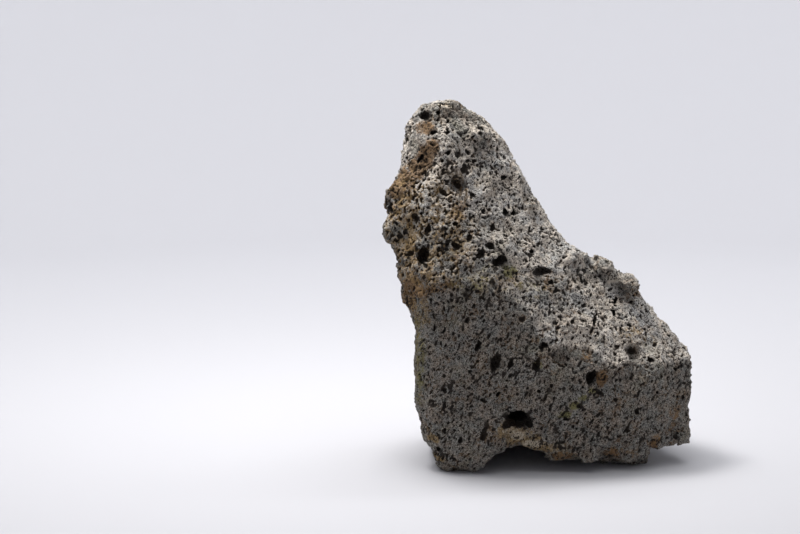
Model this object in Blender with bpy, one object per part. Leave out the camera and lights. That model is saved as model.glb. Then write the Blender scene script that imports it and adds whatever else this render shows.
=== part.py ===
"""Lava rock: one broken lump of vesicular basalt, standing on four small feet.

Blender 4.5 script, in metres, +Z up. The rock stands on z = 0, +X is to the right of its broad front
face, and that face looks towards -Y. The shape is lofted from ridge lines that run from the underside to
the crown, roughened, hollowed by the largest gas cavities, and planed flat under its feet.
"""

import math

import bmesh
import bpy
import numpy as np
from mathutils import Matrix, Vector, noise

MM = 0.001

LOFT_BOTTOM = -4 * MM
LOFT_TOP = 198 * MM
RING_STEP = 4.0 * MM
REMESH_VOXEL = 2.2 * MM
EDGE_ROUNDING_PASSES = 4
NODE_FACES = 7000
FEET_SINK = 1.5 * MM

# Ridge lines in the order they stand around the rock, seen from above: left edge, broad front face, right
# crest, back. Each point is (x, y, z) in millimetres, from the underside up.
RIDGES = {
    "left_edge": [
        (-50, -36, -4), (-57, -38, 5), (-59, -38, 12), (-63, -36, 22), (-66, -34, 36), (-68, -32, 57),
        (-70, -30, 71), (-70, -29, 83), (-73, -27, 93), (-74, -25, 104), (-77, -22, 113), (-79, -20, 120),
        (-83, -17, 127), (-85, -13, 138), (-85, -9, 149), (-77, -4, 158), (-75, 0, 166), (-72, 3, 174),
        (-73, 5, 180), (-70, 8, 190), (-61, 10, 198),
    ],
    "front_left_edge": [
        (-44, -42, -4), (-51, -45, 8), (-57, -45, 40), (-60, -44, 75), (-62, -42, 95), (-63, -39, 105),
        (-69, -31, 120), (-74, -24, 138), (-72, -18, 151), (-66, -11, 165), (-65, -6, 180), (-60, 2, 198),
    ],
    "front_left": [
        (-28, -43, -4), (-30, -48, 8), (-33, -50, 50), (-35, -49, 85), (-36, -46, 104), (-45, -34, 130),
        (-50, -23, 155), (-53, -13, 178), (-52, 1, 198),
    ],
    "front_middle": [
        (0, -42, -4), (0, -47, 8), (-2, -51, 40), (-2, -49, 76), (-6, -44, 88), (-14, -31, 115),
        (-26, -21, 140), (-34, -14, 160), (-40, -8, 180), (-46, 3, 198),
    ],
    "front_right": [
        (30, -38, -4), (31, -43, 8), (33, -46, 40), (32, -43, 63), (29, -30, 82), (21, -15, 103),
        (11, -5, 121), (-3, -6, 140), (-16, -6, 158), (-24, -3, 172), (-31, 1, 186), (-43, 6, 198),
    ],
    "front_right_edge": [
        (62, -33, -4), (65, -35, 8), (67, -37, 30), (67, -35, 56), (62, -22, 72), (52, -8, 88),
        (44, -2, 98), (30, 0, 107), (17, 2, 117), (6, 2, 134), (-7, 2, 150), (-14, 4, 165),
        (-20, 6, 178), (-31, 8, 190), (-43, 9, 198),
    ],
    "right_crest": [
        (85, -20, -4), (85, -20, 11), (86, -18, 24), (87, -15, 45), (88, -13, 58), (86, -9, 63),
        (80, -6, 67), (72, -2, 77), (65, 1, 86), (60, 3, 93), (58, 4, 102), (47, 5, 105),
        (43, 5, 110), (38, 5, 113), (28, 5, 113), (16, 6, 119), (10, 6, 128), (3, 7, 141), (-8, 8, 155),
        (-14, 9, 167), (-16, 10, 176), (-23, 11, 184), (-30, 12, 191), (-37, 12, 195), (-45, 12, 198),
    ],
    "back_right": [
        (70, 14, -4), (74, 16, 10), (79, 16, 30), (77, 12, 52), (62, 17, 74), (48, 20, 92),
        (33, 22, 104), (14, 22, 120), (2, 23, 136), (-8, 23, 152), (-16, 22, 168), (-25, 20, 182),
        (-35, 18, 193), (-45, 16, 198),
    ],
    "back_middle_right": [
        (34, 40, -4), (40, 46, 12), (43, 47, 30), (38, 43, 60), (28, 40, 86), (12, 38, 108),
        (-6, 36, 130), (-20, 33, 152), (-30, 29, 172), (-38, 24, 188), (-48, 19, 198),
    ],
    "back_middle_left": [
        (-10, 44, -4), (-12, 52, 12), (-12, 55, 34), (-16, 52, 65), (-24, 49, 95), (-34, 43, 125),
        (-44, 37, 150), (-48, 31, 172), (-50, 25, 188), (-54, 20, 198),
    ],
    "back_left": [
        (-40, 28, -4), (-50, 33, 12), (-55, 36, 34), (-56, 34, 65), (-61, 33, 95), (-71, 27, 125),
        (-75, 22, 148), (-69, 23, 166), (-66, 21, 182), (-60, 18, 198),
    ],
    "left_side": [
        (-52, -2, -4), (-60, -2, 10), (-65, 1, 35), (-67, 4, 70), (-72, 5, 100), (-81, 5, 128),
        (-83, 7, 148), (-76, 10, 166), (-74, 12, 182), (-64, 13, 198),
    ],
}

# Roughness laid over the lofted shape: (size of the lumps, height of the lumps), in metres.
SWELLS = (44 * MM, 2.2 * MM)
LUMPS = (17 * MM, 1.3 * MM)
SCALLOPS = (13 * MM, 3.0 * MM)
GRIT = (6 * MM, 0.7 * MM)

# The underside stands clear of the ground by CLEARANCE, except at each foot: its middle (x, y) and radius.
CLEARANCE = 4.5 * MM
FEET = [
    ((-42 * MM, -28 * MM), 19 * MM),
    ((49 * MM, -21 * MM), 17 * MM),
    ((-26 * MM, 30 * MM), 17 * MM),
    ((30 * MM, 26 * MM), 13 * MM),
]
FOOT_WOBBLE = 0.5
UNDERSIDE_LUMPS = (11 * MM, 2.5 * MM)
# The hollow that arches up under the front face: its middle, its radii and its rise.
ARCH_MIDDLE = (-9 * MM, -48 * MM)
ARCH_RADII = (25 * MM, 44 * MM)
ARCH_RISE = 13 * MM
# The right-hand corner hangs over the ground, beyond a step.
STEP_X = 63 * MM
STEP_RISE = 11 * MM

# Gas cavities large enough to be part of the solid: centre, radii and the lean of the long axis from
# vertical, to the right, in the front plane. Millimetres and degrees.
CAVITIES = {
    "base_cavity": ((-12.5, -50, 30.5), (7.0, 10, 4.4), 0),
    "front_hole": ((26.5, -46, 53), (2.8, 6, 4.4), 25),
    "crest_hole": ((50.5, -34, 63.5), (3.2, 6, 2.6), 0),
    "slanted_hole": ((-25, -50, 62), (2.5, 5, 4.8), 26),
    "waist_hole": ((-63, -33, 117), (3.2, 6, 5.0), 8),
    "shoulder_hole": ((-22.5, -35, 114), (2.8, 6, 4.4), 65),
    "slope_hollow": ((1, -28, 107.5), (2.6, 5, 5.0), 80),
    "neck_hole": ((-44.5, -19.5, 153.5), (2.4, 5, 4.2), -40),
    "crown_hole": ((-62, -1.5, 190), (3.0, 5, 2.8), 0),
    "back_hole": ((-18, 50, 76), (5.5, 9, 4.2), 60),
    "back_low_hole": ((14, 52, 34), (4.2, 7, 6.0), 20),
    "left_side_hole": ((-74, 10, 112), (6, 5.0, 4.0), 0),
}

STONE_GREY = (0.105, 0.098, 0.090, 1.0)
STONE_ROUGHNESS = 0.92


def clear_scene():
    for obj in list(bpy.data.objects):
        bpy.data.objects.remove(obj)


def ridge_point(points, z):
    """The point of a ridge line at height z, in metres."""
    heights = [p[2] * MM for p in points]
    x = np.interp(z, heights, [p[0] * MM for p in points])
    y = np.interp(z, heights, [p[1] * MM for p in points])
    return Vector((x, y, z))


def lofted_body():
    """Rings joined from ridge to ridge, closed below and at the crown."""
    count = math.ceil((LOFT_TOP - LOFT_BOTTOM) / RING_STEP)
    mesh = bmesh.new()
    rings = []
    for z in np.linspace(LOFT_BOTTOM, LOFT_TOP, count + 1):
        rings.append([mesh.verts.new(ridge_point(points, z)) for points in RIDGES.values()])
    for lower, upper in zip(rings, rings[1:]):
        for side in range(len(lower)):
            after = (side + 1) % len(lower)
            mesh.faces.new((lower[side], lower[after], upper[after], upper[side]))
    mesh.faces.new(reversed(rings[0]))
    mesh.faces.new(rings[-1])
    bmesh.ops.recalc_face_normals(mesh, faces=mesh.faces)
    return mesh


def object_from(mesh, name):
    data = bpy.data.meshes.new(name)
    mesh.to_mesh(data)
    mesh.free()
    obj = bpy.data.objects.new(name, data)
    bpy.context.scene.collection.objects.link(obj)
    return obj


def apply_modifiers(obj):
    graph = bpy.context.evaluated_depsgraph_get()
    data = bpy.data.meshes.new_from_object(obj.evaluated_get(graph))
    obj.modifiers.clear()
    obj.data = data


def remesh(obj, voxel):
    modifier = obj.modifiers.new("remesh", "REMESH")
    modifier.mode = "VOXEL"
    modifier.voxel_size = voxel
    apply_modifiers(obj)


def round_edges(obj, passes):
    modifier = obj.modifiers.new("round", "SMOOTH")
    modifier.factor = 0.5
    modifier.iterations = passes
    apply_modifiers(obj)


def roughness_at(point):
    """How far the surface stands out at a point: broad swells, lumps, scalloped hollows and grit."""
    size, height = SWELLS
    out = height * noise.fractal(point / size, 1.0, 2.0, 2)
    size, height = LUMPS
    out += height * noise.fractal(point / size + Vector((7, 3, 5)), 0.9, 2.0, 3)
    size, height = SCALLOPS
    distances, _ = noise.voronoi(point / size)
    out += height * (distances[0] - 0.5)
    size, height = GRIT
    return out + height * noise.noise(point / size)


def roughen(obj):
    mesh = obj.data
    moved = [v.co + v.normal * roughness_at(v.co) for v in mesh.vertices]
    for vertex, place in zip(mesh.vertices, moved):
        vertex.co = place


def smooth_step(low, high, value):
    share = min(max((value - low) / (high - low), 0.0), 1.0)
    return share * share * (3 - 2 * share)


def underside_height(x, y):
    """The height of the underside at (x, y): below zero in the feet, which are planed off at zero."""
    size, bump = UNDERSIDE_LUMPS
    lumps = noise.noise(Vector((x / size, y / size, 0.5)))
    lift = 1.0
    for (foot_x, foot_y), radius in FEET:
        away = math.hypot(x - foot_x, y - foot_y) * (1 + FOOT_WOBBLE * lumps)
        lift = min(lift, smooth_step(0.45 * radius, 1.2 * radius, away))
    across = (x - ARCH_MIDDLE[0]) / ARCH_RADII[0]
    along = (y - ARCH_MIDDLE[1]) / ARCH_RADII[1]
    arch = math.sqrt(max(0.0, 1 - across**2 - along**2))
    raised = max(CLEARANCE + bump * lumps, ARCH_RISE * arch)
    if x > STEP_X:
        raised = max(raised, STEP_RISE)
    return -FEET_SINK + (raised + FEET_SINK) * lift


def shape_underside(obj):
    for vertex in obj.data.vertices:
        lowest = underside_height(vertex.co.x, vertex.co.y)
        vertex.co.z = max(vertex.co.z, lowest)


def cavity_cutter(name, centre, radii, lean):
    mesh = bmesh.new()
    bmesh.ops.create_icosphere(mesh, subdivisions=2, radius=1.0)
    shape = Matrix.Rotation(math.radians(lean), 4, "Y") @ Matrix.Diagonal(Vector(radii) * MM).to_4x4()
    bmesh.ops.transform(mesh, matrix=Matrix.Translation(Vector(centre) * MM) @ shape, verts=mesh.verts)
    cutter = object_from(mesh, name)
    cutter.hide_render = True
    cutter.display_type = "WIRE"
    return cutter


def cut_cavities(obj):
    for name, (centre, radii, lean) in CAVITIES.items():
        modifier = obj.modifiers.new(name, "BOOLEAN")
        modifier.operation = "DIFFERENCE"
        modifier.object = cavity_cutter(name, centre, radii, lean)


def lighten(obj, faces):
    triangles = sum(len(p.vertices) - 2 for p in obj.data.polygons)
    modifier = obj.modifiers.new("lighten", "DECIMATE")
    modifier.ratio = faces / triangles
    apply_modifiers(obj)


def plane_feet(obj):
    """Cuts everything below z = 0 away and closes the feet with flat faces."""
    mesh = bmesh.new()
    mesh.from_mesh(obj.data)
    everything = mesh.verts[:] + mesh.edges[:] + mesh.faces[:]
    cut = bmesh.ops.bisect_plane(
        mesh, geom=everything, plane_co=(0, 0, 0), plane_no=(0, 0, 1), clear_inner=True
    )
    rim = [item for item in cut["geom_cut"] if isinstance(item, bmesh.types.BMEdge)]
    bmesh.ops.holes_fill(mesh, edges=rim)
    bmesh.ops.recalc_face_normals(mesh, faces=mesh.faces)
    mesh.to_mesh(obj.data)
    mesh.free()


def centre_on_origin(rock):
    """Moves the rock and its cutters together, so that the middle of its box stands over the origin."""
    places = np.array([v.co for v in rock.data.vertices])
    middle = (places.min(axis=0) + places.max(axis=0)) / 2
    for obj in bpy.data.objects:
        obj.location = (-middle[0], -middle[1], 0.0)


def stone_material():
    material = bpy.data.materials.new("vesicular_basalt")
    material.use_nodes = True
    shader = material.node_tree.nodes["Principled BSDF"]
    shader.inputs["Base Color"].default_value = STONE_GREY
    shader.inputs["Roughness"].default_value = STONE_ROUGHNESS
    shader.inputs["Metallic"].default_value = 0.0
    return material


def main():
    clear_scene()
    rock = object_from(lofted_body(), "lava_rock")
    remesh(rock, REMESH_VOXEL)
    round_edges(rock, EDGE_ROUNDING_PASSES)
    roughen(rock)
    shape_underside(rock)
    remesh(rock, REMESH_VOXEL)
    lighten(rock, NODE_FACES)
    plane_feet(rock)
    rock.data.materials.append(stone_material())
    cut_cavities(rock)
    centre_on_origin(rock)


main()
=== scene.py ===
import math

import bpy
import numpy as np
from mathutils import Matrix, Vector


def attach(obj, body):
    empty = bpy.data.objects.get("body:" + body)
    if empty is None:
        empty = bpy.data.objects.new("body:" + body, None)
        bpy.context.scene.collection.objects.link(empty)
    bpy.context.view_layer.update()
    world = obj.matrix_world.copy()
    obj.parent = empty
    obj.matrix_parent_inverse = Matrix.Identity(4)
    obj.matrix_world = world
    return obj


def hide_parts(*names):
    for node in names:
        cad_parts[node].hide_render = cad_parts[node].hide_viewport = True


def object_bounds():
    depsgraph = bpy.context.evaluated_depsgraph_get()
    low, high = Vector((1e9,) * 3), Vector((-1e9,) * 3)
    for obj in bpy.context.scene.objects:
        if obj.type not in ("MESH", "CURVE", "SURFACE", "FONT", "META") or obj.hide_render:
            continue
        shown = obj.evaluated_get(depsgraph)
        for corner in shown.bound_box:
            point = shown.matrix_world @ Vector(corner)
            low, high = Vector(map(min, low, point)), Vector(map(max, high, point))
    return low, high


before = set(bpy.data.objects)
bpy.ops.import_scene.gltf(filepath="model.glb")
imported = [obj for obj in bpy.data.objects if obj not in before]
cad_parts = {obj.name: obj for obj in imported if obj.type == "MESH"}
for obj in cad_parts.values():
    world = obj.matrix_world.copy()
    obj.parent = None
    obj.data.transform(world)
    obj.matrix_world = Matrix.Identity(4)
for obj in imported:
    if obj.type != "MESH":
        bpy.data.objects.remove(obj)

import openvdb
from mathutils import Vector

# A lump of vesicular basalt. The rock is carved in a distance field around the CAD solid: broken relief,
# scooped fracture marks and thousands of gas holes, then meshed once. The rock's lengths are millimetres,
# and those of the studio and camera are metres, in the frame's axes: +X to the right across the front face,
# -Y the way it looks, +Z up.

CAD_LOW, CAD_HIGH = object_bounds()
MM = 0.001
NODE = "lava_rock"
SEED = 4127

# The distance field: step of its grid, room kept around the CAD box, furthest distance that it holds, and
# cell of the coarse lattice on which the CAD solid is read.
VOXEL = 0.4
MARGIN = 6.0
BAND = 6.0
BASE_CELL = 1.5
LATTICE_GAIN = 3.0  # brings B-spline noise on a unit lattice back to a spread of about 1
UPRIGHT = np.eye(3)

# Broken relief: lattice cell and height of each layer of noise.
RELIEF = [(16.0, 0.45), (7.5, 0.42), (3.6, 0.27), (1.8, 0.18)]
GRIT_CELL, GRIT_HEIGHT = 0.85, 0.21

# Scooped fracture marks, large ones and then small: count, smallest and largest radius, least and greatest
# depth.
SCOOPS = [(5000, 1.8, 4.6, 0.12, 0.4), (26000, 0.8, 1.9, 0.06, 0.26)]

# Gas holes: how many are scattered, smallest radius, mean of what is added to it, largest radius, and
# whether they are slits, which only the dark front has.
GAS_HOLES = [(30000, 0.37, 0.09, 0.75, False), (3200, 0.52, 0.17, 1.1, False), (90, 1.1, 0.3, 1.7, False),
             (1700, 0.46, 0.12, 0.85, True)]

# Line across the front between the pale slope above, weathered and partly painted top light, and the dark
# fresh break below: (x, z).
CREASE = [(-90, 101), (-74, 103), (-40, 107), (-25, 102), (-9, 90), (-3, 77), (5, 71), (27, 69), (34, 61),
          (43, 59), (49, 63), (63, 59), (82, 58), (90, 58)]

# Flow direction, along which the gas holes are drawn out: it leans to the right. Holes scatter around it.
FLOW = Vector((0.42, 0.25, 0.87)).normalized()
FLOW_LEAN = math.atan2(FLOW.x, FLOW.z)
FLOW_SCATTER = 0.22

# Knobs that stand out of the outline: centre (x, y, z) and radii. Each is blended into the body over a fillet
# and broken up by small lumps and bites, whose radii are a share of its own up to a cap.
KNOBS = [
    ((14, -2, 110), (14, 14, 8.0)), ((36.5, -2, 105.5), (6.0, 11, 5.2)), ((50.2, -4, 97.6), (5.6, 12, 4.6)),
    ((-35, 1, 178.5), (9.5, 12, 8.5)), ((-4.5, 0, 141.5), (5, 8, 5)),
    ((80.5, -8, 50), (4.6, 9, 10)), ((79.6, -17, 15.5), (5.4, 11, 8)),
    ((-48, -38, 6), (8, 7, 6)), ((-37, -40, 5.6), (7, 7, 5.6)),
    ((12, -42, 9.0), (9, 5, 3.4)), ((27, -41, 8.4), (10, 6, 4.6)), ((48, -37, 8.4), (11, 7, 6.0)),
]
KNOB_SIZE = 0.97
KNOB_FILLET, LUMP_FILLET = 2.5, 0.5
LUMPS = 12
LUMP_SHARE = (0.2, 0.42)
LUMP_CAP = 1.7
BITE_REACH, LUMP_REACH = 1.05, 0.75

# Share of the scattered marks that each knob gets on top of those spread over the solid.
KNOB_SHARE = 0.002

# Height of the front's lower edge, from the left foot over the arch to the right end: (x, z). Between y
# EDGE_FRONT and EDGE_BACK it falls back to the solid's own underside.
LOWER_EDGE = [(-37, 0), (-31, 5), (-25, 11), (-17, 13.5), (-8, 12), (-2, 8.5), (5, 6.5), (20, 6.8), (33, 7.2),
              (46, 4.8), (56, 6.5), (64, 8)]
EDGE_FRONT, EDGE_BACK = -40.0, -26.0

# The right end of the underside stands clear of the ground: it is cut away beyond x and below z.
STEP_X, STEP_Z = 60.5, 11.6

# Notches cut into the outline: centre and radii.
NOTCHES = [
    ((46.3, -2, 108.2), (3.3, 12, 4.6)), ((33, -2, 115.6), (9, 20, 4.0)), ((31.5, -4, 111.8), (2.4, 12, 2.0)),
    ((-76.5, -20, 112), (2.6, 9, 2.4)), ((19, -47, 6.2), (2.6, 8, 3.0)), ((38, -44, 6.2), (2.4, 8, 2.2)),
]

# Shallow recesses in the front: centre, radii and lean.
RECESSES = [
    ((-13.5, -54.5, 21.5), (12.0, 7.5, 6.4), 30), ((20, -55.5, 40), (13, 5.0, 3.0), 52),
    ((34, -50.5, 45), (9, 4.0, 2.6), 60), ((-36, -56.5, 44), (8, 5.0, 5.0), 30),
    ((2, -55.5, 52), (9, 4.5, 6), 20), ((12, -50.5, 66), (8, 4.0, 4.0), -20),
    ((64, -43.5, 44), (5, 5.0, 12), 10), ((-62, -47, 30), (4, 5, 9), -8),
]

# The broken upper left of the body, for its relief, its marks and holes, and its colour: the span in x over
# which it fades to the right, and the spans in z over which it sets in and dies out, going up.
LEFT_RELIEF = ((-48, -18), (92, 112), (158, 176))
LEFT_MARKS = ((-45, -15), (90, 112), (160, 178))
LEFT_COLOUR = ((-52, -22), (96, 112), (150, 168))

# Crumbly patch under the cavity in the base: x, z, radius across, radius up.
CRUMBLY = (-12.5, 21.0, 13.0, 8.5)

# The large cavities of the solid, a little widened and deepened here, with broken rims and dark insides:
# centre, radii and lean in degrees, as in the solid. Those further left than CAVITY_LEFT open to the left,
# and the others to the front or back.
CAVITIES = [
    ((-12.9, -51.9, 30.5), (7.0, 10, 4.4), 0), ((26.1, -47.9, 53), (2.8, 6, 4.4), 25),
    ((50.1, -35.9, 63.5), (3.2, 6, 2.6), 0), ((-25.4, -51.9, 62), (2.5, 5, 4.8), 26),
    ((-63.4, -34.9, 117), (3.2, 6, 5.0), 8), ((-22.9, -36.9, 114), (2.8, 6, 4.4), 65),
    ((0.6, -29.9, 107.5), (2.6, 5, 5.0), 80), ((-44.9, -21.4, 153.5), (2.4, 5, 4.2), -40),
    ((-62.4, -3.4, 190), (3.0, 5, 2.8), 0), ((-18.4, 48.1, 76), (5.5, 9, 4.2), 60),
    ((13.6, 50.1, 34), (4.2, 7, 6.0), 20), ((-74.4, 8.1, 112), (6, 5.0, 4.0), 0),
]
CAVITY_LEFT = -70
CAVITY_GROWTH = (1.05, 1.2, 1.05)

# How far a hole's middle lies under the surface, as a share of its depth.
SINK = 0.35

# Bites around the rim of a cavity or single hole: how many, how far out and how large as shares of its radii,
# how far in along its depth, with minus for outwards, and how much longer than wide.
CAVITY_CHIPS, HOLE_CHIPS = 16, 4
CHIP_REACH, CHIP_SIZE, CHIP_INWARD, CHIP_LENGTH = (0.75, 1.05), (0.22, 0.45), (-0.9, 0.3), 1.4

# Single gas holes and tears on the front: x, z, half width, half height, depth, lean in degrees.
HOLES = [
    (-11.3, 84.5, 1.6, 1.8, 3.5, 0), (0.9, 71.0, 2.3, 1.6, 5.0, 8), (-0.6, 69.9, 1.2, 2.0, 4.0, 20),
    (-17.3, 61.7, 1.4, 2.8, 3.0, 20), (-4.0, 60.4, 2.1, 2.4, 4.0, 24), (-3.0, 63.0, 1.3, 2.0, 3.0, 24),
    (-34.7, 70.9, 1.5, 3.2, 4.0, 24), (-38.5, 58.0, 0.9, 2.2, 3.0, 20), (16.2, 81.8, 1.5, 1.2, 3.0, 0),
    (60.2, 59.8, 2.1, 1.5, 4.0, 0), (29.0, 80.5, 1.2, 4.6, 4.5, 24), (27.0, 76.5, 0.9, 2.0, 3.5, 24),
    (42.6, 88.0, 1.1, 4.0, 4.0, 20), (41.0, 83.0, 1.2, 1.8, 4.0, 10), (-4.9, 117.6, 1.5, 1.3, 4.5, 0),
    (-18.9, 138.4, 1.9, 1.9, 5.0, 20), (-14.3, 137.9, 1.3, 1.5, 4.5, 0), (-19.6, 156.5, 2.0, 1.3, 3.5, -30),
    (1.1, 106.8, 5.0, 1.4, 4.0, 0), (-33.5, 118.0, 1.8, 4.2, 5.0, 35), (-27.5, 122.0, 2.4, 1.8, 4.5, 35),
    (-81.0, 139.8, 1.3, 2.8, 5.0, -15), (-76.1, 125.9, 2.0, 1.8, 4.0, 0), (-55.2, 191.8, 1.4, 1.3, 4.0, 0),
    (-58.0, 181.5, 1.8, 1.3, 3.0, -20), (23.5, 88.0, 1.1, 1.0, 3.0, 0), (-64.0, 168.0, 1.2, 3.0, 5.0, 28),
    (-50.0, 171.0, 1.5, 1.4, 4.0, 30), (-45.0, 169.0, 1.4, 1.1, 4.0, 0), (-41.0, 164.0, 1.6, 1.3, 3.5, -10),
    (-36.0, 166.0, 1.5, 1.2, 4.0, 0), (-32.0, 181.0, 1.3, 1.2, 3.5, 0), (-22.0, 168.0, 1.1, 1.4, 3.0, 20),
    (-53.0, 150.0, 2.2, 1.5, 3.5, 30), (-68.0, 137.0, 2.8, 1.7, 4.0, 30), (-61.0, 131.0, 1.9, 2.4, 4.0, 20),
    (-47.0, 134.0, 2.0, 1.7, 4.0, 0), (-46.5, 123.0, 2.8, 1.8, 4.0, 25), (-39.0, 127.0, 1.6, 2.6, 4.0, 20),
    (-58.0, 112.5, 1.6, 1.4, 3.5, 0), (-70.0, 117.5, 2.2, 1.7, 3.5, 0), (-26.0, 131.0, 1.6, 2.4, 4.0, 20),
    (-31.0, 140.0, 1.5, 1.3, 4.0, 0), (-37.0, 148.5, 1.4, 1.2, 3.0, 0), (8.0, 97.0, 1.6, 1.3, 3.0, 0),
    (5.5, 101.5, 1.5, 1.3, 3.0, 0), (-40.5, 84.0, 0.9, 1.9, 3.0, 22), (-58.0, 79.0, 1.0, 1.6, 3.0, 20),
    (-52.0, 46.0, 0.8, 1.8, 3.0, 22), (-31.0, 41.0, 2.6, 1.0, 2.5, 20), (-24.0, 45.0, 1.1, 2.4, 3.0, 28),
    (4.5, 50.0, 1.0, 1.3, 3.0, 0), (-2.0, 46.5, 1.1, 1.1, 3.0, 0), (2.0, 34.0, 0.9, 1.2, 3.0, 10),
    (40.0, 40.0, 1.4, 1.0, 3.0, 30), (52.0, 33.0, 1.2, 1.6, 3.0, 20), (63.0, 43.0, 1.5, 1.1, 3.0, 0),
    (21.5, 36.5, 3.6, 1.0, 2.2, 38), (31.0, 44.5, 4.2, 1.1, 2.4, 34), (12.5, 31.0, 2.6, 0.9, 2.0, 40),
    (-12.6, 31.0, 5.2, 3.5, 14.0, 0), (-18.6, 27.4, 3.0, 2.4, 6.0, 20), (-6.6, 28.0, 2.4, 2.2, 6.0, -20),
    (-55.0, 13.0, 1.6, 1.4, 3.0, 0), (-44.0, 19.0, 1.4, 1.7, 3.0, 30), (-52.0, 24.0, 1.5, 1.2, 3.0, 0),
]

# Stains on the front: x, z, radius across, radius up, strength. They are iron rust, ochre clay, green-yellow
# mineral film and pale crust.
STAINS = {
    "rust": [(-68, 101, 11, 7, 0.75), (-72, 93, 6, 9, 0.7), (-55, 103, 12, 4, 0.5),
             (-62.4, 184, 5.5, 3.6, 0.95), (-44, 139, 4.5, 7, 0.7), (-78, 151, 5, 6, 1.3),
             (-73, 156, 5, 6, 1.3), (-67, 162, 5, 6, 1.25), (-62, 168, 4.5, 6, 1.2),
             (-58, 175, 3.5, 5, 0.9), (24, 64, 4, 3, 0.6), (-70, 118, 9, 7, 0.35), (31.8, 52, 3.0, 4.6, 1.5),
             (40, 10, 5, 4, 0.6), (62, 15, 4, 4, 0.7), (12, 9, 7, 3, 0.7), (-80, 141, 4, 5, 0.7),
             (-45, 115, 6, 4, 0.4), (57, 91, 3.5, 2.5, 0.6), (4, 101, 5, 6, 0.4), (8, 78, 10, 3.5, 0.35),
             (74, 30, 5, 5, 0.4), (50, 10, 6, 4, 0.4), (75, 20, 6, 5, 0.4)],
    "ochre": [(-18, 25, 6, 5, 1.0), (-13, 21, 8, 5, 1.0), (-7, 18, 8, 4.5, 1.0), (-2, 16, 6, 3.5, 0.9),
              (-60, 135, 18, 22, 0.3), (-74, 145, 6, 10, 0.6), (-72, 128, 7, 12, 0.5),
              (-62, 108, 10, 8, 0.45), (-45, 133, 6, 8, 0.4), (-58, 19, 3, 2.4, 0.9),
              (-55, 8, 3.4, 2.4, 0.9), (50, 74, 8, 3, 0.5), (59, 69, 6, 3, 0.45), (-20, 104, 14, 6, 0.35),
              (-66, 88, 7, 8, 0.5), (-78, 110, 5, 6, 0.5), (2, 14, 6, 3, 0.7), (-70, 72, 6, 14, 0.6)],
    "moss": [(12.2, 33, 3.4, 2.2, 0.9), (17.4, 38, 3.0, 2.2, 0.9), (21.6, 42.4, 3.0, 2.0, 0.85),
             (27, 46, 3, 1.6, 0.6), (-18, 109, 4, 3, 0.9), (-3, 61, 2.2, 3, 0.8), (-10, 98, 13, 6, 0.3),
             (-38, 104, 12, 5, 0.35), (-67, 60, 5, 22, 0.6), (-30, 112, 9, 5, 0.3), (60, 66, 5, 3, 0.3)],
    "crust": [(-51.9, 196.6, 3.6, 1.6, 1.0), (-48.5, 195.5, 1.8, 1.2, 0.8), (-4.5, 17.0, 6.0, 2.2, 0.85),
              (-12, 21.5, 6, 3, 0.7), (-53, 158, 3.0, 1.2, 0.6), (-17, 24.5, 4, 3, 0.6)],
}

# Darker patches on the front, where the pale colour is lowered: x, z, radius across, radius up, strength.
DARK_PATCHES = [
    (-22, 110, 20, 9, 0.55), (2, 100, 16, 8, 0.45), (-48, 122, 16, 14, 0.4), (-64, 118, 14, 12, 0.35),
    (-34, 130, 10, 7, 0.4), (-22, 136, 10, 7, 0.3), (12, 84, 8, 8, 0.3), (-62, 180, 8, 14, 0.35),
    (45, 84, 5, 9, 0.4), (52, 92, 7, 5, 0.4), (-30, 170, 8, 8, 0.25), (66, 66, 10, 4, 0.3),
    (-46, 195, 26, 11, 0.85), (10, 92, 22, 13, 0.35), (18, 112, 12, 6, 0.3), (38, 108, 9, 6, 0.6),
    (49, 99, 8, 6, 0.8), (-38, 176, 28, 20, 0.3),
]

# Seeded stains for the other sides: kind, count, smallest and largest radius.
SPREAD_STAINS = [
    ("rust", 26, 2.5, 8.0), ("ochre", 26, 3.0, 9.0), ("moss", 16, 3.0, 9.0), ("crust", 5, 1.5, 3.0),
]


def smooth(x, low, high):
    """0 below low, 1 above high and an S curve between."""
    t = np.clip((x - low) / (high - low), 0.0, 1.0)
    return t * t * (3.0 - 2.0 * t)


def fade(x, low, high):
    """1 below low, 0 above high and an S curve between."""
    return 1 - smooth(x, low, high)


def upper_left(x, z, side, bottom, top):
    """1 in the broken upper left of the body, fading out to the right, down and up over those spans."""
    return fade(x, *side) * (smooth(z, *bottom) * fade(z, *top))


# ---------------------------------------------------------------- the distance field
ORIGIN = np.floor(np.array(CAD_LOW) / MM) - MARGIN
SHAPE = tuple(int(n) for n in np.ceil((np.array(CAD_HIGH) / MM + MARGIN - ORIGIN) / VOXEL))
GRID_X, GRID_Y, GRID_Z = (
    (ORIGIN[a] + VOXEL * np.arange(SHAPE[a], dtype=np.float32)).astype(np.float32) for a in range(3)
)
rng = np.random.default_rng(SEED)


def spline_taps(count, cell):
    """For one axis: the first lattice point each grid step reads, and its four cubic B-spline weights."""
    t = np.arange(count) * VOXEL / cell
    first = np.floor(t).astype(int)
    f = (t - first).astype(np.float32)
    weights = (
        (1 - f) ** 3 / 6,
        (3 * f**3 - 6 * f**2 + 4) / 6,
        (-3 * f**3 + 3 * f**2 + 3 * f + 1) / 6,
        f**3 / 6,
    )
    return first, weights


def lattice_shape(cell):
    """Points along each axis of a lattice that covers the grid, one to spare below it and two above."""
    return tuple(int(math.floor((n - 1) * VOXEL / cell)) + 4 for n in SHAPE)


def spread(lattice, cell):
    """The smooth B-spline field of a lattice with that cell, on the whole grid. The lattice's first point
    lies one cell below the grid's corner."""
    field = lattice
    for axis in range(3):
        first, weights = spline_taps(SHAPE[axis], cell)
        total = None
        for k, w in enumerate(weights):
            part = np.take(field, first + k, axis=axis)
            part *= w.reshape([-1 if a == axis else 1 for a in range(3)])
            total = part if total is None else np.add(total, part, out=total)
        field = total
    return field


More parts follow.
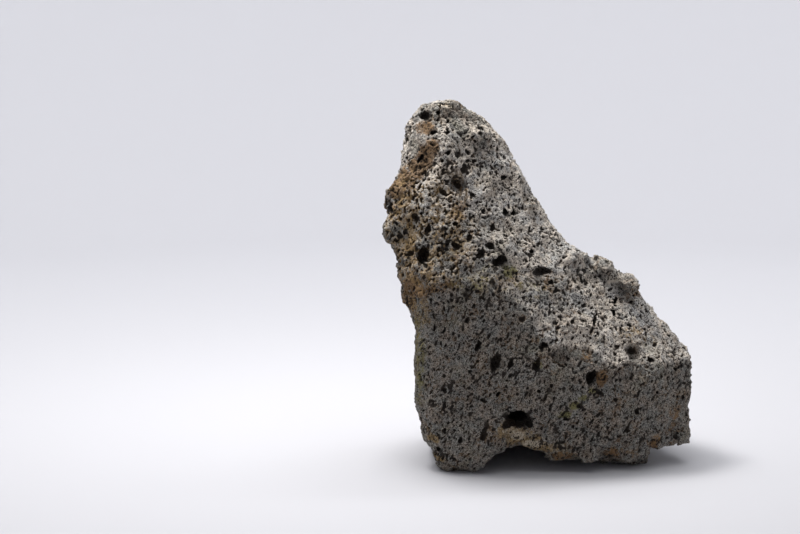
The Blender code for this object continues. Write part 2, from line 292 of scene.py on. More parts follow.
def solid_triangles():
    """The CAD solid's points, in metres, and the three points of each of its triangles."""
    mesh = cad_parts[NODE].data
    mesh.calc_loop_triangles()
    points = np.empty(len(mesh.vertices) * 3, np.float32)
    mesh.vertices.foreach_get("co", points)
    corners = np.empty(len(mesh.loop_triangles) * 3, np.int32)
    mesh.loop_triangles.foreach_get("vertices", corners)
    return points.reshape(-1, 3), corners.reshape(-1, 3)


def solid_field():
    """Signed distance to the CAD solid, in millimetres, negative inside. It is read on a coarse lattice and
    spread smoothly, which takes the flat facets away."""
    points, corners = solid_triangles()
    index = (points / MM - ORIGIN) / BASE_CELL + 1.0
    grid = openvdb.FloatGrid.createLevelSetFromPolygons(
        np.ascontiguousarray(index, np.float32),
        triangles=corners.astype(np.uint32),
        transform=openvdb.createLinearTransform(1.0),
        halfWidth=BAND / BASE_CELL,
    )
    lattice = np.empty(lattice_shape(BASE_CELL), np.float32)
    grid.copyToArray(lattice)
    return spread(lattice * np.float32(BASE_CELL), BASE_CELL)


def noise(cell):
    """Smooth seeded noise over the whole grid, with a spread of about 1."""
    lattice = rng.standard_normal(lattice_shape(cell)).astype(np.float32) * np.float32(LATTICE_GAIN)
    return spread(lattice, cell)


def sample(field, points):
    """Trilinear value of a field at points given in millimetres."""
    t = (points - ORIGIN) / VOXEL
    i = np.clip(np.floor(t).astype(int), 0, np.array(SHAPE) - 2)
    f = (t - i).astype(np.float32)
    value = np.zeros(len(points), np.float32)
    for dx in (0, 1):
        for dy in (0, 1):
            for dz in (0, 1):
                w = (f[:, 0] if dx else 1 - f[:, 0]) * (f[:, 1] if dy else 1 - f[:, 1])
                w = w * (f[:, 2] if dz else 1 - f[:, 2])
                value += w * field[i[:, 0] + dx, i[:, 1] + dy, i[:, 2] + dz]
    return value


def slope_at(field, points, step=1.5):
    """Unit outward direction of a distance field at points."""
    out = np.empty((len(points), 3), np.float32)
    for a in range(3):
        shift = np.zeros(3)
        shift[a] = step
        out[:, a] = sample(field, points + shift) - sample(field, points - shift)
    return out / np.maximum(np.linalg.norm(out, axis=1, keepdims=True), 1e-6)


def spread_points(field, count):
    """Seeded points spread evenly over the CAD surface, and some on each knob, all drawn onto the zero level
    of the field, with their outward directions."""
    points, corners = solid_triangles()
    tri = (points.astype(float) / MM)[corners]
    area = np.linalg.norm(np.cross(tri[:, 1] - tri[:, 0], tri[:, 2] - tri[:, 0]), axis=1)
    pick = rng.choice(len(tri), count, p=area / area.sum())
    u, v = rng.random(count), rng.random(count)
    fold = u + v > 1
    u[fold], v[fold] = 1 - u[fold], 1 - v[fold]
    t = tri[pick]
    at = t[:, 0] + u[:, None] * (t[:, 1] - t[:, 0]) + v[:, None] * (t[:, 2] - t[:, 0])
    knobs = []
    for centre, radii in KNOBS:
        unit = rng.standard_normal((int(count * KNOB_SHARE), 3))
        unit /= np.linalg.norm(unit, axis=1, keepdims=True)
        knobs.append(np.array(centre) + unit * np.array(radii))
    at = np.concatenate([at, *knobs])
    for _ in range(3):  # three steps down the slope of the field are enough to land on its surface
        at = at - slope_at(field, at) * sample(field, at)[:, None]
    return at, slope_at(field, at)


def ellipsoid(centre, axes, radii, pad=1.0):
    """The grid block around an ellipsoid and its distance there; axes are rows, radii in millimetres."""
    axes, radii = np.asarray(axes, float), np.asarray(radii, float)
    reach = np.sqrt(((axes * radii[:, None]) ** 2).sum(0)) + pad * VOXEL
    low = np.maximum(np.floor((centre - reach - ORIGIN) / VOXEL).astype(int), 0)
    high = np.minimum(np.ceil((centre + reach - ORIGIN) / VOXEL).astype(int) + 1, SHAPE)
    if (high <= low).any():
        return None, None
    x = (GRID_X[low[0]:high[0]] - centre[0])[:, None, None]
    y = (GRID_Y[low[1]:high[1]] - centre[1])[None, :, None]
    z = (GRID_Z[low[2]:high[2]] - centre[2])[None, None, :]
    q = 0.0
    for axis, radius in zip(axes, radii):
        q = q + ((axis[0] * x + axis[1] * y + axis[2] * z) / radius) ** 2
    block = tuple(slice(a, b) for a, b in zip(low, high))
    return block, (np.sqrt(q) - 1.0) * radii.min()


def cut(field, centre, axes, radii):
    """Takes an ellipsoid out of the body."""
    block, inside = ellipsoid(centre, axes, radii)
    if block:
        field[block] = np.maximum(field[block], -inside)


def join(field, centre, axes, radii, fillet=1.0):
    """Adds an ellipsoid to the body with a soft joint."""
    block, inside = ellipsoid(centre, axes, radii, pad=fillet / VOXEL + 1)
    if block:
        here = field[block]
        h = np.clip(0.5 + 0.5 * (here - inside) / fillet, 0.0, 1.0)
        field[block] = here + (inside - here) * h - fillet * h * (1.0 - h)


def leaning(degrees):
    """Axes of a hole seen from the front that leans to the right by that much."""
    c, s = math.cos(math.radians(degrees)), math.sin(math.radians(degrees))
    return np.array([[c, 0, -s], [0, 1, 0], [s, 0, c]])


def front_y(field, x, z):
    """Where a line along +Y first meets the body at x, z. It starts a little in front of the CAD box."""
    run_up, step = 4.0, 0.25
    y = np.arange(CAD_LOW.y / MM - run_up, CAD_HIGH.y / MM, step)
    value = sample(field, np.stack([np.full_like(y, x), y, np.full_like(y, z)], 1))
    inside = np.nonzero(value < 0)[0]
    return y[inside[0]] if len(inside) else None


def mottle(points, size):
    """Seeded patchiness at points, from 0 to 1, in patches about size millimetres across: a sum of waves."""
    waves = 14
    total = np.zeros(len(points))
    for _ in range(waves):
        wave = rng.standard_normal(3)
        wave *= 2 * math.pi / (size * 2.0 * rng.uniform(0.7, 1.4)) / np.linalg.norm(wave)
        total += np.sin(points @ wave + rng.uniform(0, 2 * math.pi))
    return smooth(total / math.sqrt(waves / 2), -1.6, 1.6)


def crease_height(x):
    """Height of the crease across the front at x."""
    return np.interp(x, [c[0] for c in CREASE], [c[1] for c in CREASE])


def hole_axes(normals, count):
    """Orthogonal axes per hole: along the flow, across it in the surface, and square to the surface."""
    flow = np.array(FLOW) + FLOW_SCATTER * rng.standard_normal((count, 3))
    along = flow - (flow * normals).sum(1, keepdims=True) * normals
    along /= np.maximum(np.linalg.norm(along, axis=1, keepdims=True), 1e-6)
    return np.stack([along, np.cross(normals, along), normals], 1)


def chip_rim(field, centre, axes, radii, count):
    """Breaks up the outline of a hole with small seeded bites around its rim."""
    turn = rng.uniform(0, 2 * math.pi, count)
    reach = rng.uniform(*CHIP_REACH, count)
    size = rng.uniform(*CHIP_SIZE, count) * min(radii[0], radii[2])
    inward = rng.uniform(*CHIP_INWARD, count)
    for a, r, b, y in zip(turn, reach, size, inward):
        local = np.array([math.cos(a) * r * radii[0], y * radii[1], math.sin(a) * r * radii[2]])
        cut(field, np.array(centre) + local @ axes, UPRIGHT, (b, b * CHIP_LENGTH, b))


# ---------------------------------------------------------------- carving
def add_knobs(body):
    """Adds the knobs, with lumps on them and bites out of them in turn."""
    for centre, radii in KNOBS:
        centre, radii = np.array(centre, float), np.array(radii, float)
        join(body, centre, UPRIGHT, KNOB_SIZE * radii, KNOB_FILLET)
        for lump in range(LUMPS):
            way = rng.standard_normal(3)
            way /= np.linalg.norm(way)
            size = np.minimum(rng.uniform(*LUMP_SHARE) * radii, LUMP_CAP)
            if lump % 2:
                cut(body, centre + way * radii * BITE_REACH, UPRIGHT, size)
            else:
                join(body, centre + way * radii * LUMP_REACH, UPRIGHT, size, LUMP_FILLET)


def trim_outline(body):
    """Cuts the notches, the step under the right end and the lower edge of the front."""
    for centre, radii in NOTCHES:
        cut(body, np.array(centre, float), UPRIGHT, radii)
    step = np.maximum(STEP_X - GRID_X[:, None], GRID_Z[None, :] - STEP_Z)[:, None, :]
    np.maximum(body, -step, out=body)
    edge = np.interp(GRID_X, *zip(*LOWER_EDGE), left=0.0)
    raised = edge[:, None] * fade(GRID_Y, EDGE_FRONT, EDGE_BACK)
    rows = int((max(z for _, z in LOWER_EDGE) - ORIGIN[2]) / VOXEL) + 2
    # Where the edge isn't raised, -BAND leaves the body as it is.
    lift = np.where(raised > 0.1, raised, -BAND)[:, :, None] - GRID_Z[None, None, :rows]
    np.maximum(body[:, :, :rows], lift, out=body[:, :, :rows])


def roughen(body):
    """Adds the relief, stronger on the upper left, along the crease and around the cavity in the base."""
    left = upper_left(GRID_X[:, None, None], GRID_Z[None, None, :], *LEFT_RELIEF)
    off_crease = np.abs(GRID_Z[None, :] - crease_height(GRID_X)[:, None])
    x, z, across, up = CRUMBLY
    crumbly = np.hypot((GRID_X[:, None] - x) / across, (GRID_Z[None, :] - z) / up)
    ragged = 0.6 * fade(off_crease, 2, 16) + 1.6 * fade(crumbly, 0.6, 1.2)
    rough = (1.0 + 0.5 * left + ragged[:, None, :]).astype(np.float32)
    for cell, height in RELIEF:
        body += noise(cell) * rough * np.float32(height)


def scoop(body):
    """Cuts the fracture marks: shallow cups whose edges meet in sharp little ridges, deeper in patches and on
    the upper left."""
    for count, small, large, shallow, deep in SCOOPS:
        at, normal = spread_points(body, count)
        count = len(at)
        left = upper_left(at[:, 0], at[:, 2], *LEFT_MARKS)
        radius = rng.uniform(small, large, count)
        depth = rng.uniform(shallow, deep, count) * (0.6 + 0.8 * mottle(at, 18.0)) * (1 + 0.9 * left)
        for i in range(count):
            cut(body, at[i] + normal[i] * (radius[i] - depth[i]), UPRIGHT, [radius[i]] * 3)


def cut_gas_holes(body):
    """Cuts the scattered gas holes: ellipsoids along the flow, sunk a little into the surface. There are more
    and wider ones in patches and on the upper left, and longer and narrower ones on the dark front."""
    for count, smallest, added, largest, slits in GAS_HOLES:
        at, normal = spread_points(body, count)
        count = len(at)
        dark = ((at[:, 2] < crease_height(at[:, 0])) & (normal[:, 1] < -0.2)).astype(float)
        left = upper_left(at[:, 0], at[:, 2], *LEFT_MARKS)
        patch = mottle(at, 14.0)
        radius = np.minimum(smallest + rng.exponential(added, count), largest)
        radius *= (0.85 + 0.35 * mottle(at, 8.0)) * (1 + 0.2 * left - 0.08 * dark)
        stretch = 1.0 + rng.random(count) * (0.45 + 1.2 * dark) + 1.2 * slits
        squeeze = 1.0 - rng.random(count) * (0.15 + 0.15 * dark)
        deep = rng.uniform(1.1, 2.1, count)
        sink = rng.uniform(0.0, 0.7, count)
        keep = rng.random(count) < (dark if slits else 0.25 + 0.65 * patch + 0.3 * left - 0.16 * dark)
        axes = hole_axes(normal, count)
        for i in np.nonzero(keep)[0]:
            radii = (radius[i] * stretch[i], radius[i] * squeeze[i], radius[i] * deep[i])
            cut(body, at[i] - normal[i] * radius[i] * sink[i], axes[i], radii)


def cut_single_holes(body, plain):
    """Cuts the single holes and tears of the front, from where each meets the plain body."""
    for x, z, wide, high, deep, lean in HOLES:
        y = front_y(plain, x, z)
        if y is not None:
            cut(body, np.array([x, y + SINK * deep, z]), leaning(lean), (wide, deep, high))
            chip_rim(body, (x, y + 0.2 * deep, z), leaning(lean), (wide, 0.6 * deep, high), HOLE_CHIPS)


def cut_cavities(body):
    """Cuts the large cavities again, because the smooth field has blurred them, and breaks up their rims."""
    for centre, radii, lean in CAVITIES:
        centre, radii = np.array(centre), np.array(radii)
        inward = np.array([1.0, 0, 0]) if centre[0] < CAVITY_LEFT else np.array([0, -np.sign(centre[1]), 0])
        cut(body, centre + inward * SINK * radii[1], leaning(lean), radii * CAVITY_GROWTH)
        chip_rim(body, centre, leaning(lean), radii, CAVITY_CHIPS)


def carve():
    """Three fields: the carved body, the plain one before any recess, and the rough one before any hole."""
    body = solid_field()
    add_knobs(body)
    trim_outline(body)
    plain = body.copy()
    for centre, radii, lean in RECESSES:
        cut(body, np.array(centre, float), leaning(lean), radii)
    roughen(body)
    scoop(body)
    skin = body.copy()
    cut_gas_holes(body)
    cut_single_holes(body, plain)
    cut_cavities(body)
    body += noise(GRIT_CELL) * np.float32(GRIT_HEIGHT)
    np.maximum(body, -GRID_Z[None, None, :], out=body)  # nothing goes below the ground
    return body, plain, skin


# ---------------------------------------------------------------- the mesh
def largest_part(count, quads):
    """A mask of the points that belong to the largest connected part. Points that share an edge take the
    lower of their two labels, until every part has one label."""
    label = np.arange(count)
    a, b = quads.ravel().astype(np.int64), np.roll(quads, 1, axis=1).ravel().astype(np.int64)
    while True:
        low = np.minimum(label[a], label[b])
        new = label.copy()
        for target in (a, b, label[a], label[b]):
            np.minimum.at(new, target, low)
        new = new[new]
        if (new == label).all():
            break
        label = new
    return label == np.bincount(label).argmax()


def chart_uv(points, quads, normal):
    """UVs, one row per face corner: six flat charts, one per main direction, laid out in the unit square."""
    room, border = 4.0, 1.0
    low, high = np.array(CAD_LOW) / MM - room, np.array(CAD_HIGH) / MM + room
    wide, deep, tall = high - low
    side = max(2 * wide + deep, 2 * tall) + 2 * border
    facing = normal[quads].sum(1)
    axis = np.abs(facing).argmax(1)
    chart = axis * 2 + (np.take_along_axis(facing, axis[:, None], 1)[:, 0] > 0)
    corner = points[quads] - low
    x, y, z = corner[..., 0], corner[..., 1], corner[..., 2]
    layout = [(2 * wide, 0, y, z), (2 * wide, tall, y, z), (0, 0, x, z), (wide, 0, x, z),
              (0, tall, x, y), (wide, tall, x, y)]
    uv = np.empty((len(quads), 4, 2), np.float32)
    for k, (left, bottom, across, up) in enumerate(layout):
        mine = chart == k
        uv[mine, :, 0] = ((left + border + across) / side)[mine]
        uv[mine, :, 1] = ((bottom + border + up) / side)[mine]
    return uv.reshape(-1, 2)


def facing_front(normal):
    """1 where the surface looks to the front, 0 where it looks away."""
    return smooth(-normal[:, 1], -0.15, 0.25)


def stain_values(points, front, plain):
    """Strength of each kind of stain at each point."""
    inner, outer = 0.35, 1.6  # the shares of its radius at which a stain starts to fade and is gone
    values = {}
    for kind, rows in STAINS.items():
        total = np.zeros(len(points), np.float32)
        for x, z, across, up, strength in rows:
            beside = np.abs(points[:, 0] - x) < outer * across
            near = np.nonzero(beside & (np.abs(points[:, 2] - z) < outer * up))[0]
            d = np.hypot((points[near, 0] - x) / across, (points[near, 2] - z) / up)
            total[near] = np.maximum(total[near], strength * fade(d, inner, outer) * front[near])
        values[kind] = total
    for kind, count, small, large in SPREAD_STAINS:
        centre, _ = spread_points(plain, count)
        radius, strength = rng.uniform(small, large, count), rng.uniform(0.3, 0.8, count)
        for c, r, s in zip(centre, radius, strength):
            near = np.nonzero((np.abs(points - c) < 2.0 * r).all(1))[0]
            d = np.linalg.norm((points[near] - c) * np.array([1.0, 1.0, 0.8]), axis=1) / r
            value = s * fade(d, inner, outer) * (1 - 0.85 * front[near])
            values[kind][near] = np.maximum(values[kind][near], value)
    return values


def hollow_values(points, skin):
    """How deep each point lies below the skin, and at least a high value inside the large cavities, which get
    painted shade.
    """
    depth = -sample(skin, points)
    for centre, radii, lean in CAVITIES:
        near = np.nonzero((np.abs(points - centre) < 1.3 * max(radii)).all(1))[0]
        q = np.linalg.norm(((points[near] - centre) @ leaning(lean).T) / radii, axis=1)
        depth[near] = np.maximum(depth[near], 0.9 * fade(q, 0.85, 1.06))
    return depth


def pale_values(points, normal, front, left):
    """How pale each point is: weathered above the crease on the front, and on whatever faces upwards, which
    is partly dust and partly painted top light.
    """
    above = points[:, 2] - crease_height(points[:, 0])
    # Faces turned upwards are paler: partly dust, partly painted top light.
    upward = smooth(normal[:, 2], -0.1, 0.45)
    pale = front * smooth(above, -5.0, 4.0) * (0.45 + 0.55 * upward) + (1 - front) * (0.05 + 0.62 * upward)
    for x, z, across, up, strength in DARK_PATCHES:
        d = np.hypot((points[:, 0] - x) / across, (points[:, 2] - z) / up)
        pale = pale * (1 - strength * fade(d, 0.3, 1.5) * front)
    return pale * (1 - 0.32 * left)


def rock_surface():
    """The carved surface: its points in millimetres, its quads, and the plain and skin fields."""
    body, plain, skin = carve()
    grid = openvdb.FloatGrid(BAND)
    grid.copyFromArray(np.clip(body, -BAND, BAND))
    points, quads = grid.convertToQuads(0.0)
    keep = largest_part(len(points), quads)
    renumber = np.cumsum(keep) - 1
    quads = renumber[quads[keep[quads[:, 0]]]].astype(np.int32)
    points = points[keep].astype(np.float64) * VOXEL + ORIGIN
    points[:, 2] = np.maximum(points[:, 2], 0.0)
    return points, quads, plain, skin


def build_rock():
    """The rock as one object, with the values that its material reads stored on its points."""
    points, quads, plain, skin = rock_surface()
    normal = slope_at(plain, points, step=3.0)
    mesh = bpy.data.meshes.new("rock_surface")
    mesh.vertices.add(len(points))
    mesh.vertices.foreach_set("co", (points * MM).astype(np.float32).ravel())
    mesh.loops.add(quads.size)
    mesh.loops.foreach_set("vertex_index", quads.ravel())
    mesh.polygons.add(len(quads))
    mesh.polygons.foreach_set("loop_start", np.arange(0, quads.size, 4, dtype=np.int32))
    mesh.update(calc_edges=True)
    mesh.uv_layers.new(name="OFBake").data.foreach_set("uv", chart_uv(points, quads, normal).ravel())
    front = facing_front(normal)
    left = front * upper_left(points[:, 0], points[:, 2], *LEFT_COLOUR)
    values = {"hollow": hollow_values(points, skin), "pale": pale_values(points, normal, front, left),
              "broken": left, **stain_values(points, front, plain)}
    for name, value in values.items():
        mesh.attributes.new(name, "FLOAT", "POINT").data.foreach_set("value", value.astype(np.float32))
    mesh.shade_smooth()
    rock = bpy.data.objects.new("vesicular_rock", mesh)
    bpy.context.scene.collection.objects.link(rock)
    print("rock:", len(points), "points,", len(quads), "faces")
    return rock


# ---------------------------------------------------------------- material
class Graph:
    """Short calls for building a node tree."""

    def __init__(self, name):
        self.material = bpy.data.materials.new(name)
        self.material.use_nodes = True
        self.tree = self.material.node_tree
        self.shader = self.tree.nodes["Principled BSDF"]
        self.place = self.node("ShaderNodeTexCoord").outputs["Object"]

    def node(self, kind, inputs=(), **settings):
        """A new node with those inputs, which are values or other nodes' outputs."""
        made = self.tree.nodes.new(kind)
        for key, value in settings.items():
            setattr(made, key, value)
        for key, value in dict(inputs).items():
            self.put(value, made.inputs[key])
        return made

    def put(self, value, socket):
        """Links another node's output to the socket, or sets the socket to a plain value."""
        if isinstance(value, bpy.types.NodeSocket):
            self.tree.links.new(value, socket)
        else:
            socket.default_value = value

    def attribute(self, name):
        """One of the values stored on the rock's points."""
        return self.node("ShaderNodeAttribute", attribute_name=name).outputs["Fac"]

    def noise(self, cell, detail=3.0, rough=0.6, distort=0.0):
        """Noise whose largest features are about cell millimetres across."""
        return self.node("ShaderNodeTexNoise", {
            "Vector": self.place, "Scale": 1.0 / (cell * MM), "Detail": detail, "Roughness": rough,
            "Distortion": distort}).outputs["Fac"]

    def cells(self, cell, place, output="Distance"):
        """Distance to scattered points about cell millimetres apart, in cells, or each one's random Color."""
        made = self.node("ShaderNodeTexVoronoi", {"Vector": place, "Scale": 1.0 / (cell * MM)})
        return made.outputs[output]

    def math(self, operation, a, b):
        """The sum, product or whatever the operation names of two values."""
        return self.node("ShaderNodeMath", {0: a, 1: b}, operation=operation).outputs[0]

    def stir(self, value, pattern, amount):
        """Value raised and lowered by a pattern around 0.5, which ragged edges come from."""
        swing = self.math("MULTIPLY", self.math("SUBTRACT", pattern, 0.5), amount)
        return self.math("ADD", value, swing)

    def ramp(self, value, low, high, to_low=0.0, to_high=1.0):
        """Smooth step of value from low..high to to_low..to_high."""
        return self.node("ShaderNodeMapRange", {
            "Value": value, "From Min": low, "From Max": high, "To Min": to_low, "To Max": to_high},
            interpolation_type="SMOOTHSTEP").outputs["Result"]

    def mix(self, factor, a, b):
        """Colour a turned into colour b by the factor. The node has its colour sockets at places 6 and 7."""
        made = self.node("ShaderNodeMix", data_type="RGBA")
        for value, key in ((factor, 0), (a, 6), (b, 7)):
            self.put(value, made.inputs[key])
        return made.outputs[2]


def rgb(r, g, b):
    """An opaque colour."""
    return (r, g, b, 1.0)


# Colours of the fresh break, the pale surface, mineral grains, the painted shade in holes, and stains.
DARK_GREY, DARK_BROWN = rgb(0.170, 0.170, 0.158), rgb(0.212, 0.170, 0.132)
DARK_OLIVE = rgb(0.150, 0.138, 0.085)
PALE_GREY, PALE_BEIGE, COOL_GREY = rgb(0.65, 0.595, 0.525), rgb(0.69, 0.60, 0.50), rgb(0.53, 0.525, 0.51)
LIGHT_GRAIN, DARK_GRAIN = rgb(0.48, 0.44, 0.385), rgb(0.035, 0.032, 0.028)
PAINTED_HOLE_SHADE = rgb(0.030, 0.024, 0.020)
TINTS = {"rust": rgb(0.22, 0.12, 0.045), "ochre": rgb(0.33, 0.225, 0.105), "moss": rgb(0.20, 0.185, 0.07),
         "crust": rgb(0.64, 0.56, 0.44)}


def stone_colour(g, middle, fine):
    """Fresh dark stone where little is pale, and pale stone where much is, partly dusty weathering and partly
    painted top light, with faint clouds.
    """
    fresh = g.mix(g.ramp(middle, 0.38, 0.66), DARK_GREY, DARK_BROWN)
    pale_stone = g.mix(g.ramp(g.noise(22.0, 3.0), 0.40, 0.62), PALE_GREY, COOL_GREY)
    pale_stone = g.mix(g.ramp(middle, 0.42, 0.62, 0.0, 0.85), pale_stone, PALE_BEIGE)
    dust_and_top_light = g.stir(g.stir(g.attribute("pale"), middle, 0.9), fine, 0.9)
    colour = g.mix(g.ramp(dust_and_top_light, 0.12, 0.78), fresh, pale_stone)
    colour = g.mix(g.ramp(g.noise(13.0, 4.0, 0.6, 0.6), 0.50, 0.68, 0.0, 0.45), colour, DARK_BROWN)
    return g.mix(g.ramp(g.noise(17.0, 3.0, 0.6, 0.4), 0.54, 0.70, 0.0, 0.45), colour, DARK_OLIVE)


def add_grains(g, colour, fine, grain):
    """Lighter and darker mineral grains, each of one shade, and finer mottling."""
    crystal = g.cells(0.85, g.place, "Color")
    shade = g.node("ShaderNodeSeparateColor", {"Color": crystal}).outputs[0]
    # The pattern of each, where it sets in and where it is full, its strength and its tint.
    for pattern, start, full, strength, tint in (
        (shade, 0.42, 0.05, 0.30, DARK_GRAIN),
        (shade, 0.60, 0.98, 0.20, LIGHT_GRAIN),
        (fine, 0.50, 0.66, 0.30, LIGHT_GRAIN),
        (grain, 0.49, 0.39, 0.74, DARK_GRAIN),
        (grain, 0.53, 0.64, 0.52, LIGHT_GRAIN),
    ):
        colour = g.mix(g.ramp(pattern, start, full, 0.0, strength), colour, tint)
    return colour


def add_stains(g, colour, hollow, middle, fine, grain):
    """The stains, with ragged edges and grain in them, and warm and rusty hollows."""
    for kind, tint in TINTS.items():
        strength = g.attribute(kind)
        ragged = g.stir(g.stir(strength, fine, 2.2), middle, 2.0)
        cover = g.math("MULTIPLY", g.ramp(ragged, 0.16, 0.86, 0.0, 0.85), g.ramp(strength, 0.02, 0.25))
        half_tint = rgb(*(0.5 * c for c in tint[:3]))
        colour = g.mix(cover, colour, g.mix(g.ramp(grain, 0.35, 0.65), half_tint, tint))
    warm = g.math("MULTIPLY", g.attribute("broken"), g.ramp(hollow, -0.2, 0.4))
    colour = g.mix(g.math("MULTIPLY", warm, g.ramp(middle, 0.38, 0.58)), colour, TINTS["ochre"])
    rusty = g.math("MULTIPLY", g.ramp(hollow, 0.0, 0.35), g.ramp(g.noise(9.0, 3.0), 0.48, 0.66, 0.0, 0.5))
    return g.mix(rusty, colour, TINTS["rust"])


def pinholes(g, fine, grain):
    """1 in the pinholes too small to model, which are drawn out along the flow as the gas holes are. They get
    painted shade and a dent in the bump.
    """
    drawn_out = g.node("ShaderNodeMapping", {
        "Vector": g.place, "Rotation": (0, FLOW_LEAN, 0), "Scale": (1, 1, 1.7)},
        vector_type="TEXTURE").outputs["Vector"]
    small = g.ramp(g.stir(g.cells(1.05, drawn_out), grain, 0.45), 0.32, 0.23)
    in_patches = g.math("MULTIPLY", small, g.ramp(g.noise(4.5, 2.0), 0.40, 0.52))
    large = g.ramp(g.stir(g.cells(1.75, drawn_out), fine, 0.25), 0.25, 0.19)
    return g.math("MAXIMUM", in_patches, large)


def basalt():
    """The vesicular basalt. Its ramps read noise, mostly between 0.3 and 0.7, or the values on the points."""
    g = Graph("vesicular_basalt")
    hollow = g.attribute("hollow")
    middle, fine, grain = g.noise(6.0, 4.0, 0.65), g.noise(1.4, 4.0, 0.7), g.noise(0.68, 3.0, 0.65)

    colour = stone_colour(g, middle, fine)
    colour = add_grains(g, colour, fine, grain)
    colour = add_stains(g, colour, hollow, middle, fine, grain)
    # Painted shade: the deeper a point lies in a hole, dip or cavity, the nearer to black it is painted.
    colour = g.mix(g.ramp(hollow, 0.12, 0.95, 0.0, 0.88), colour, PAINTED_HOLE_SHADE)
    speck = pinholes(g, fine, grain)
    # Painted shade: the pinholes too small to model are painted near black.
    g.put(g.mix(g.math("MULTIPLY", speck, 0.92), colour, PAINTED_HOLE_SHADE), g.shader.inputs["Base Color"])

    g.put(g.ramp(fine, 0.3, 0.7, 0.82, 0.98), g.shader.inputs["Roughness"])
    g.shader.inputs["Specular IOR Level"].default_value = 0.22

    height = g.math("SUBTRACT", g.math("MULTIPLY", grain, 0.6), speck)
    height = g.math("ADD", height, g.math("MULTIPLY", g.noise(0.35, 2.0, 0.7), 0.35))
    bump = g.node("ShaderNodeBump", {"Strength": 1.0, "Distance": 1.1 * MM, "Height": height})
    g.put(bump.outputs["Normal"], g.shader.inputs["Normal"])
    return g.material


# ---------------------------------------------------------------- studio
# Light colours, and the lights around the rock that brighten the paper: the way each looks, in degrees from
# +X, and its power. The first looks at the paper that the camera sees.
KEY_WHITE, CEILING_WHITE, WALL_WHITE = (1.0, 0.985, 0.965), (1.0, 0.99, 0.98), (0.97, 0.98, 1.0)
WALL_LIGHTS = [(90, 18.0), (0, 4.5), (180, 4.5), (270, 3.0)]
SKY_COLOUR, SKY_STRENGTH = rgb(0.93, 0.95, 1.0), 0.17
PAPER = rgb(0.55, 0.548, 0.573)


def plain_material(name, colour, roughness):
    """A matte material of one colour, for the paper."""
    material = bpy.data.materials.new(name)
    material.use_nodes = True
    shader = material.node_tree.nodes["Principled BSDF"]
    shader.inputs["Base Color"].default_value = colour
    shader.inputs["Roughness"].default_value = roughness
    shader.inputs["Specular IOR Level"].default_value = 0.1
    return material


def sweep():
    """Seamless studio paper: a round flat floor that curves up into a low wall all around."""
    floor_radius, bend, top, around, steps = 0.9, 0.6, 0.9, 96, 24
    profile = [(floor_radius, 0.0)]
    for k in range(1, steps + 1):
        a = 0.5 * math.pi * k / steps
        profile.append((floor_radius + bend * math.sin(a), bend * (1 - math.cos(a))))
    profile.append((floor_radius + bend, top))
    turns = [2 * math.pi * k / around for k in range(around)]
    verts = [(r * math.cos(a), r * math.sin(a), z) for r, z in profile for a in turns] + [(0.0, 0.0, 0.0)]
    faces = [(len(verts) - 1, k, (k + 1) % around) for k in range(around)]
    for ring in range(len(profile) - 1):
        at = ring * around
        faces += [(at + k, at + around + k, at + around + (k + 1) % around, at + (k + 1) % around)
                  for k in range(around)]
    mesh = bpy.data.meshes.new("studio_paper")
    mesh.from_pydata(verts, [], faces)
    mesh.shade_smooth()
    paper = bpy.data.objects.new("studio_paper", mesh)
    bpy.context.scene.collection.objects.link(paper)
    mesh.materials.append(plain_material("paper", PAPER, 0.9))


def softbox(name, place, aim, size, power, colour=(1.0, 1.0, 1.0)):
    """A rectangular light at place that looks at aim, in metres and watts."""
    lamp = bpy.data.lights.new(name, "AREA")
    lamp.shape, lamp.size, lamp.size_y = "RECTANGLE", size[0], size[1]
    lamp.energy, lamp.color = power, colour
    made = bpy.data.objects.new(name, lamp)
    made.location = place
    made.rotation_euler = (Vector(aim) - Vector(place)).to_track_quat("-Z", "Y").to_euler()
    bpy.context.scene.collection.objects.link(made)


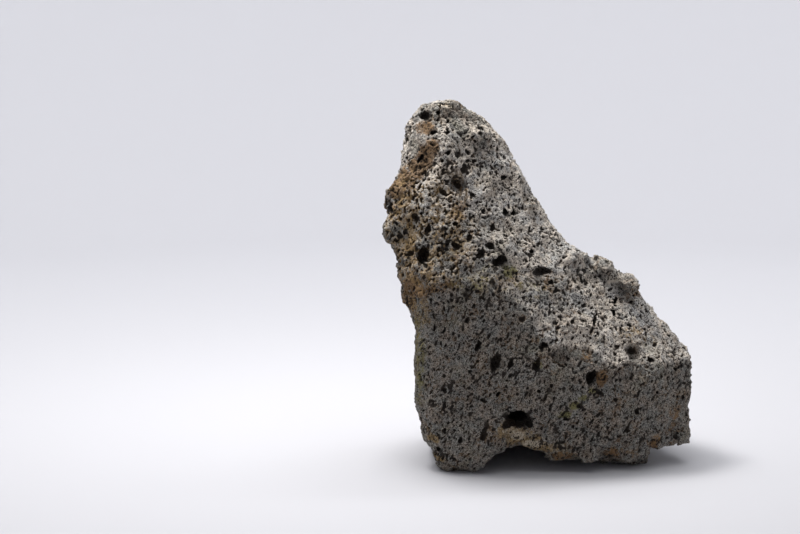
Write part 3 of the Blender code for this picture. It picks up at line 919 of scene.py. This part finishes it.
def studio():
    """Paper and lights: a small key from above the left, a wide ceiling, weak panels at the sides and the
    lights for the paper."""
    centre = (CAD_LOW + CAD_HIGH) / 2
    sweep()
    softbox("key", (-0.13, 0.03, 0.47), (-0.06, 0.02, 0.0), (0.15, 0.14), 1.65, KEY_WHITE)
    softbox("ceiling", centre + Vector((-0.15, 0.20, 1.15)), centre, (1.3, 1.0), 6.3, CEILING_WHITE)
    for side, power in ((-1, 0.6), (1, 1.2)):
        softbox("side", (side * 0.85, 0.20, 0.35), (0.0, 0.05, 0.1), (0.6, 0.6), power)
    for turn, power in WALL_LIGHTS:
        way = Vector((math.cos(math.radians(turn)), math.sin(math.radians(turn)), 0.0))
        place, aim = way * 0.5 + Vector((0, 0, 1.3)), way * 1.5 + Vector((0, 0, 0.3))
        softbox("wall_light", place, aim, (2.0, 0.4), power, WALL_WHITE)
    world = bpy.data.worlds.new("studio")
    world.use_nodes = True
    background = world.node_tree.nodes["Background"]
    background.inputs["Color"].default_value = SKY_COLOUR
    background.inputs["Strength"].default_value = SKY_STRENGTH
    bpy.context.scene.world = world
    bpy.context.scene.view_settings.view_transform = "Standard"


# ---------------------------------------------------------------- camera
# Lens and sensor in millimetres, the angle by which the camera looks down, and its distance and aim in
# metres. The rock stands right of the middle of the picture.
LENS, SENSOR = 70.0, 36.0
CAMERA_ABOVE = math.radians(8.5)
CAMERA_AWAY = 0.850
AIM_FROM_CENTRE = Vector((-0.0761, -0.020, 0.0097))


def camera():
    """The camera at the photograph's viewing angle."""
    aim = (CAD_LOW + CAD_HIGH) / 2 + AIM_FROM_CENTRE
    data = bpy.data.cameras.new("camera")
    data.lens, data.sensor_width = LENS, SENSOR
    made = bpy.data.objects.new("camera", data)
    made.location = aim + CAMERA_AWAY * Vector((0.0, -math.cos(CAMERA_ABOVE), math.sin(CAMERA_ABOVE)))
    made.rotation_euler = (math.pi / 2 - CAMERA_ABOVE, 0.0, 0.0)
    bpy.context.scene.collection.objects.link(made)
    bpy.context.scene.camera = made


camera()
studio()
rock = build_rock()
rock.data.materials.append(basalt())
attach(rock, "root")
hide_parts(NODE)
